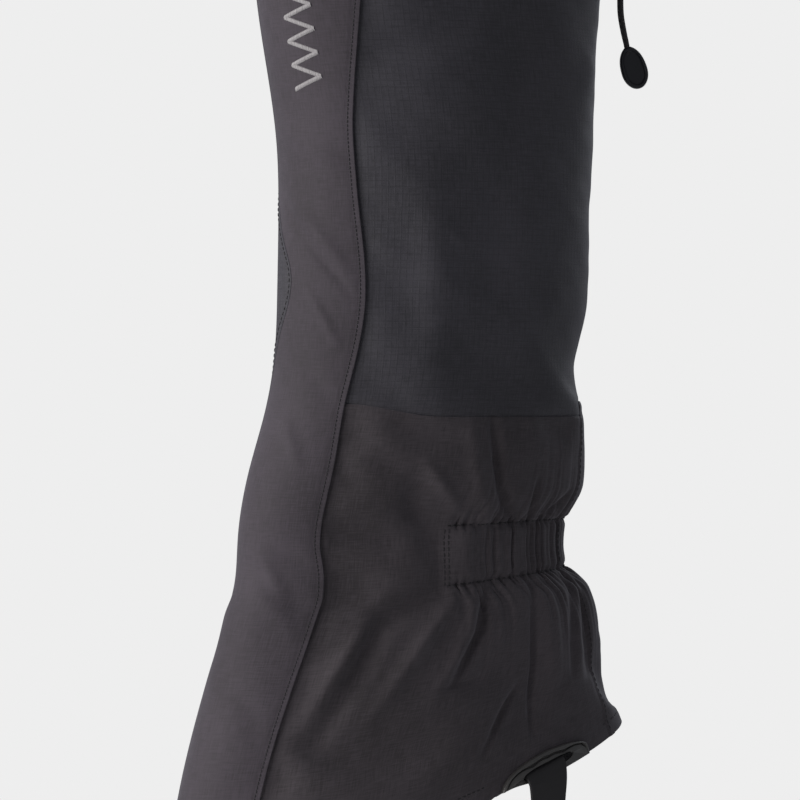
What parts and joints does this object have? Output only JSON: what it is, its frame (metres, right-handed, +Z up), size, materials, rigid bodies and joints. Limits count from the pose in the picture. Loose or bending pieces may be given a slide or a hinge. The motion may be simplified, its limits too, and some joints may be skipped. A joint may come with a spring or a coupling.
{
  "type": "gaiter",
  "caption": "Knee-high mountaineering gaiter: front-flap fabric sleeve with elastic ankle, drawcord collar, lace hook and an adjustable strap under the boot.",
  "frame": {"origin": "middle of the underside of the instep strap, where it passes below the arch of the boot", "axes": "+Z up the leg, -Y towards the toe, +X towards the outer side of a left leg"},
  "size_m": [0.1155, 0.2475, 0.474],
  "materials": {
    "ripstop": "light coated ripstop nylon, fine raised grid, faint sheen",
    "heavy_fabric": "heavy plain-weave nylon, matt",
    "flap_fabric": "heavy plain-weave nylon, matt, slightly lighter",
    "binding_tape": "woven tape",
    "hook_and_loop": "brushed hook-and-loop tape",
    "elastic": "knitted elastic",
    "cord": "braided cord",
    "coated_strap": "matt coated webbing, softly embossed",
    "moulded_rubber": "satin moulded rubber",
    "black_plastic": "moulded, fine satin",
    "dark_metal": "black enamelled press metal",
    "bare_metal": "satin steel",
    "embroidery_thread": "satin stitch, light grey"
  },
  "bodies": {
    "sleeve": {"outer_upper_panel": "ripstop", "inner_upper_panel": "ripstop", "outer_lower_panel": "heavy_fabric", "inner_lower_panel": "heavy_fabric", "front_gusset": "heavy_fabric", "back_seam_tape_lower": "binding_tape", "back_seam_tape_upper": "binding_tape", "hem_facing_outer": "binding_tape", "hem_facing_back": "binding_tape", "hem_facing_inner": "binding_tape", "ankle_elastic": "elastic", "ankle_tunnel_lining": "heavy_fabric", "top_hem_tunnel": "heavy_fabric", "drawcord_outer_run": "cord", "drawcord_inner_run": "cord", "eyelet_outer": "dark_metal", "eyelet_inner": "dark_metal", "loop_strip": "hook_and_loop", "flap_root_binding": "binding_tape", "snap_stud_bottom": "bare_metal", "snap_stud_top": "bare_metal", "lace_hook": "bare_metal", "lace_hook_rivet": "bare_metal", "outer_strap_patch": "moulded_rubber", "inner_strap_patch": "moulded_rubber"},
    "flap": {"front_flap": "flap_fabric", "hook_strip": "hook_and_loop", "embroidered_mark": "embroidery_thread", "snap_cap_bottom": "dark_metal", "snap_socket_bottom": "bare_metal", "snap_cap_top": "dark_metal", "snap_socket_top": "bare_metal"},
    "strap": {"instep_strap": "coated_strap", "strap_keeper": "elastic", "buckle_webbing": "binding_tape", "buckle_frame": "bare_metal", "buckle_pin": "bare_metal"},
    "buckle_lever": {"buckle_cam": "bare_metal"},
    "cord": {"hanging_cord": "cord", "cord_pull": "black_plastic"},
    "lock": {"lock_barrel": "black_plastic", "lock_spring": "bare_metal"},
    "plunger": {"lock_plunger": "black_plastic"}
  },
  "joints": [
    {"name": "flap_open", "type": "hinge", "parent": "sleeve", "child": "flap", "pos_m": [-0.018, -0.14, 0.243], "axis": [0, -0.0748, -0.9972], "range_deg": [0, 110]},
    {"name": "strap_swing", "type": "hinge", "parent": "sleeve", "child": "strap", "pos_m": [0, 0, 0.0715], "axis": [1, 0, 0], "range_deg": [-18, 18]},
    {"name": "buckle_lift", "type": "hinge", "parent": "strap", "child": "buckle_lever", "pos_m": [-0.0543, 0, 0.0305], "axis": [0, 1, 0], "range_deg": [0, 75]},
    {"name": "cord_swing", "type": "hinge", "parent": "sleeve", "child": "cord", "pos_m": [0.01768, 0.05738, 0.45663], "axis": [0.9147, -0.4041, 0], "range_deg": [0, 45]},
    {"name": "lock_slide", "type": "slide", "parent": "cord", "child": "lock", "axis": [0.0237, 0.0536, -0.9983], "range_m": [0, 0.022]},
    {"name": "plunger_press", "type": "slide", "parent": "lock", "child": "plunger", "axis": [0.9147, -0.4041, 0], "range_m": [0, 0.003], "stiffness_N_per_m": 300, "springref_m": -0.002, "deforming": ["lock_spring"]}
  ]
}
